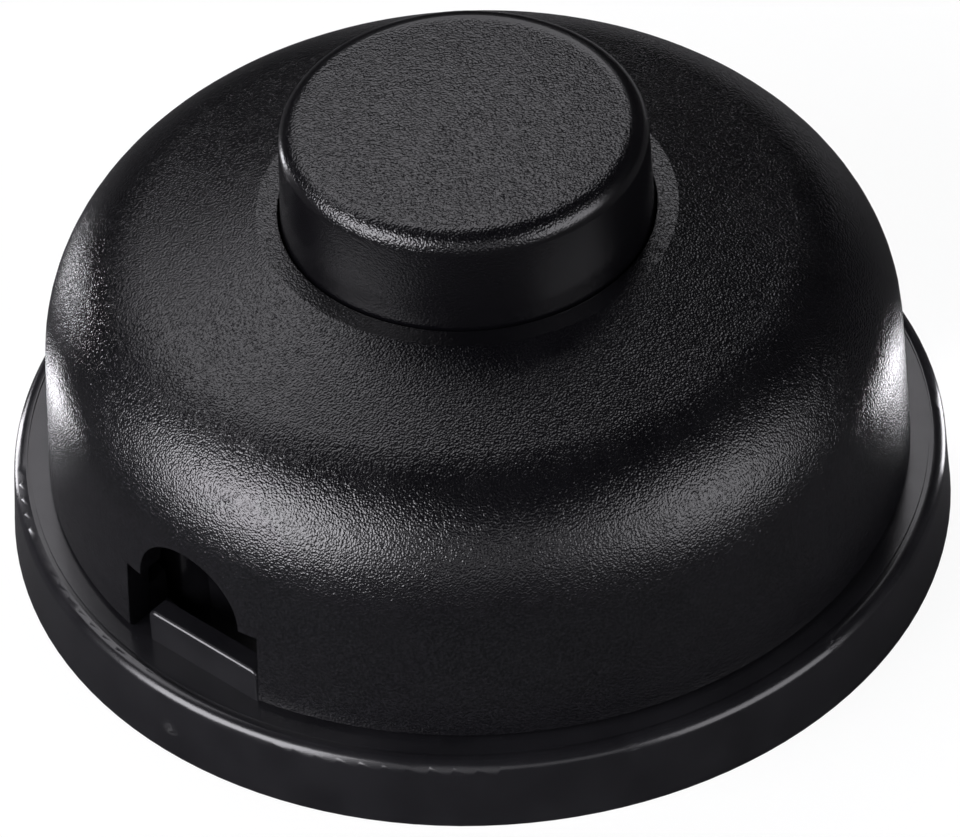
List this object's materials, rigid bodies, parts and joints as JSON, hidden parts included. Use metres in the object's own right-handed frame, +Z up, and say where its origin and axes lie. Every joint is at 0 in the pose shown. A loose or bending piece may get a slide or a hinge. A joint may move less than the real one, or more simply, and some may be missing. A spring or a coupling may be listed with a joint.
{
  "type": "inline foot switch",
  "caption": "Round black foot switch for a lamp cord: domed cover on a flanged base, sprung push button on top, arched cord entries at both ends.",
  "frame": {"origin": "centre of the round underside", "axes": "+Z up through the push button; the cord runs along X, in at -X and out at +X"},
  "size_m": [0.066, 0.066, 0.0341],
  "materials": {
    "base": "smooth satin moulding, black",
    "cover": "fine spark-eroded grain, black",
    "button": "grained top, smooth side, black",
    "white_nylon": "natural nylon",
    "red_nylon": "moulded nylon",
    "grey_insulator": "smooth thermoset moulding, dark grey",
    "cord_clamp": "smooth moulding, black",
    "brass_parts": "stamped and machined brass",
    "silver_rivets": "silver-faced contact",
    "zinc_screws": "zinc-plated steel",
    "terminal_steel": "nickel-plated steel",
    "spring_steel": "bright spring steel"
  },
  "bodies": {
    "body": {"base_plate": "base", "cover": "cover", "cover_screws": "zinc_screws", "return_spring": "spring_steel", "fixed_rivets": "silver_rivets", "inlet_contact": "brass_parts", "outlet_contact": "brass_parts", "switch_housing": "grey_insulator", "housing_lid": "grey_insulator", "housing_screws": "zinc_screws", "axle_pin": "spring_steel", "axle_washer": "spring_steel", "inlet_terminal": "brass_parts", "outlet_terminal": "brass_parts", "neutral_connector": "brass_parts", "earth_connector": "brass_parts", "terminal_screws": "terminal_steel", "inlet_cord_clamp": "cord_clamp", "outlet_cord_clamp": "cord_clamp", "cord_clamp_screws": "zinc_screws"},
    "button": {"push_button": "button", "drive_crown": "white_nylon"},
    "rotor": {"rotor": "red_nylon", "contact_bridge": "brass_parts", "bridge_rivets": "silver_rivets"}
  },
  "joints": [
    {"name": "button_press", "type": "slide", "parent": "body", "child": "button", "axis": [0, 0, -1], "range_m": [0, 0.0045], "stiffness_N_per_m": 1500, "springref_m": -0.004, "deforming": ["return_spring"]},
    {"name": "rotor_turn", "type": "hinge", "parent": "body", "child": "rotor", "pos_m": [0, 0, 0.007], "axis": [0, 0, 1], "range_deg": [0, 45.01]}
  ],
  "couplings": [
    {"joint": "rotor_turn", "follows": "button_press", "rad_per_m": 174.53}
  ]
}
